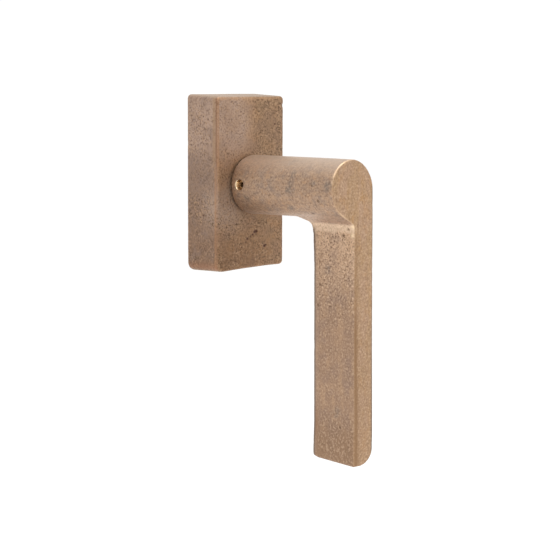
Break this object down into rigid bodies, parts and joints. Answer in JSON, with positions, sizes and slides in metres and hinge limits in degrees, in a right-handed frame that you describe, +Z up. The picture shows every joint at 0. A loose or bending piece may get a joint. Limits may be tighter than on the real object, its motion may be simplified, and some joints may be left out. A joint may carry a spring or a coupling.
{
  "type": "window handle",
  "caption": "Cast bronze window handle: an offset flat lever on a round neck turns in a deep rectangular rose, with a spring detent and a square spindle.",
  "frame": {"origin": "on the spindle's axis, in the plane of the back of the base plate, which lies on the window sash", "axes": "+Z up, +Y into the window along the spindle, -Y towards the room along the lever's neck; at rest the blade hangs down, offset to +X"},
  "size_m": [0.036, 0.0868, 0.1382],
  "materials": {
    "cast_bronze": "raw sand-cast bronze, dressed by hand and left bare, satin",
    "polished_steel": "stainless steel, turned and bright",
    "zinc_plated_steel": "bright zinc plate",
    "spring_steel": "blued spring steel",
    "zinc_casting": "zinc die casting, bare",
    "sintered_steel": "sintered steel, oiled",
    "black_nylon": "black moulded nylon",
    "white_acetal": "white moulded acetal"
  },
  "bodies": {
    "base": {"cam_washer": "white_acetal", "left_detent_spring": "spring_steel", "right_detent_spring": "spring_steel", "base_plate": "zinc_casting", "keeper_plate": "zinc_plated_steel", "keeper_screws": "zinc_plated_steel", "fixing_screws": "zinc_plated_steel", "rose_cover": "cast_bronze", "cover_screw": "polished_steel", "neck_bush": "black_nylon"},
    "lever": {"lever": "cast_bronze", "lever_grub_screw": "polished_steel", "spindle": "zinc_plated_steel", "spindle_clip": "spring_steel", "detent_cam": "sintered_steel", "disc_spring": "spring_steel"}
  },
  "joints": [
    {"name": "lever_turn", "type": "hinge", "parent": "base", "child": "lever", "pos_m": [0, 0, 0], "axis": [0, 1, 0], "continuous": true, "deforming": ["left_detent_spring", "right_detent_spring"]}
  ]
}
